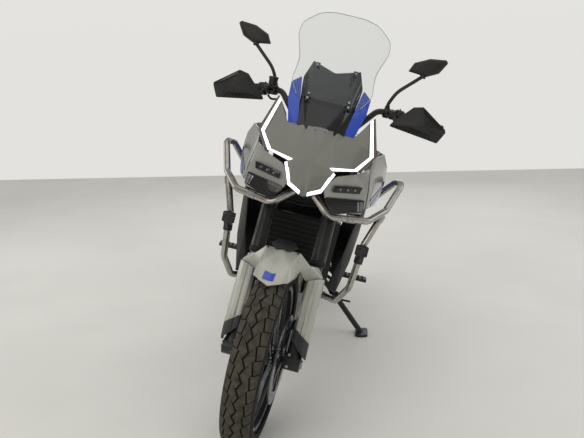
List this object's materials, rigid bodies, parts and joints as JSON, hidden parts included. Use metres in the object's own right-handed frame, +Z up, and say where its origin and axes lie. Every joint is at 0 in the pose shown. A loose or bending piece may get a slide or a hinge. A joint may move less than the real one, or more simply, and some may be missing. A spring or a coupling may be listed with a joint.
{
  "type": "adventure motorcycle",
  "caption": "Two-cylinder adventure motorcycle with wire wheels, crash bars and hand guards, parked on its side stand, with turning bars, wheels and stand.",
  "frame": {"origin": "on the floor under the middle of the leaned machine's outline", "axes": "+Y towards the rear, +Z up, +X towards the motorcycle's left, the side it leans to"},
  "size_m": [0.9878, 2.1593, 1.4731],
  "materials": {
    "tyre": "matte",
    "rim": "satin black with a bright edge",
    "spokes": "polished wire",
    "hubs": "satin black hubs with steel brake discs",
    "black_metal": "satin black paint",
    "arm_metal": "satin grey paint",
    "grey_plastic": "satin grey moulding",
    "black_plastic": "grained black moulding",
    "rubber": "matte ribbed rubber",
    "chain": "oiled steel",
    "engine": "satin black castings",
    "exhaust": "brushed steel",
    "mask": "satin warm grey moulding",
    "lamp_lens": "smoked clear lens",
    "grey_gloss": "gloss grey paint",
    "clear_screen": "clear screen",
    "black_gloss": "smoked black",
    "blue": "gloss blue paint",
    "red_lens": "red and amber lenses",
    "steel": "brushed stainless tube",
    "white_light": "white light guide",
    "seat": "black grained seat cover",
    "radiator": "black finned core"
  },
  "bodies": {
    "frame": {"main_frame": "black_metal", "subframe": "black_metal", "swingarm": "arm_metal", "chain": "chain", "rear_shock": "black_metal", "engine_cases": "engine", "cylinders": "engine", "exhaust": "exhaust", "nose_mask": "mask", "nose_frame": "black_plastic", "lamp_housings": "grey_gloss", "headlamps": "lamp_lens", "side_panels": "grey_gloss", "radiator_shrouds": "black_plastic", "windscreen": "clear_screen", "inner_screen": "black_gloss", "blue_screen_panels": "blue", "fuel_tank": "grey_gloss", "tail_covers": "grey_gloss", "undertail": "black_plastic", "left_crash_bars": "steel", "right_crash_bars": "steel", "footpegs": "black_metal", "light_strips": "white_light", "dash": "black_gloss", "rider_seat": "seat", "passenger_seat": "seat", "rear_rack": "black_metal", "skid_plate": "steel", "radiator": "radiator", "hugger": "black_plastic", "rear_caliper": "black_metal", "tail_lamps": "red_lens", "fog_lamps": "black_plastic"},
    "fork": {"fork_tubes": "black_metal", "fork_lowers": "black_metal", "triple_clamps": "black_metal", "front_calipers": "black_metal", "front_fender": "grey_plastic", "fork_covers": "grey_plastic", "handlebar": "black_metal", "grips": "rubber", "hand_guards": "black_plastic", "mirrors": "black_plastic", "controls": "black_plastic", "brake_hoses": "rubber"},
    "front_wheel": {"front_tyre": "tyre", "front_rim": "rim", "front_hub": "hubs", "front_spokes": "spokes"},
    "rear_wheel": {"rear_tyre": "tyre", "rear_rim": "rim", "rear_hub": "hubs", "rear_spokes": "spokes"},
    "side_stand": {"side_stand": "black_metal"}
  },
  "joints": [
    {"name": "steering", "type": "hinge", "parent": "frame", "child": "fork", "pos_m": [-0.03567, -0.47149, 0.79798], "axis": [0.2422, 0.4233, 0.873], "range_deg": [-28, 40]},
    {"name": "front_wheel_spin", "type": "hinge", "parent": "fork", "child": "front_wheel", "pos_m": [-0.17225, -0.75101, 0.32307], "axis": [0.9702, -0.0949, -0.2231], "continuous": true},
    {"name": "rear_wheel_spin", "type": "hinge", "parent": "frame", "child": "rear_wheel", "pos_m": [-0.17016, 0.75877, 0.31205], "axis": [0.9636, -0.0002, -0.2672], "continuous": true},
    {"name": "side_stand", "type": "hinge", "parent": "frame", "child": "side_stand", "pos_m": [-0.03991, 0.27073, 0.27321], "axis": [0.7771, -0.1336, 0.615], "range_deg": [0, 83]}
  ]
}
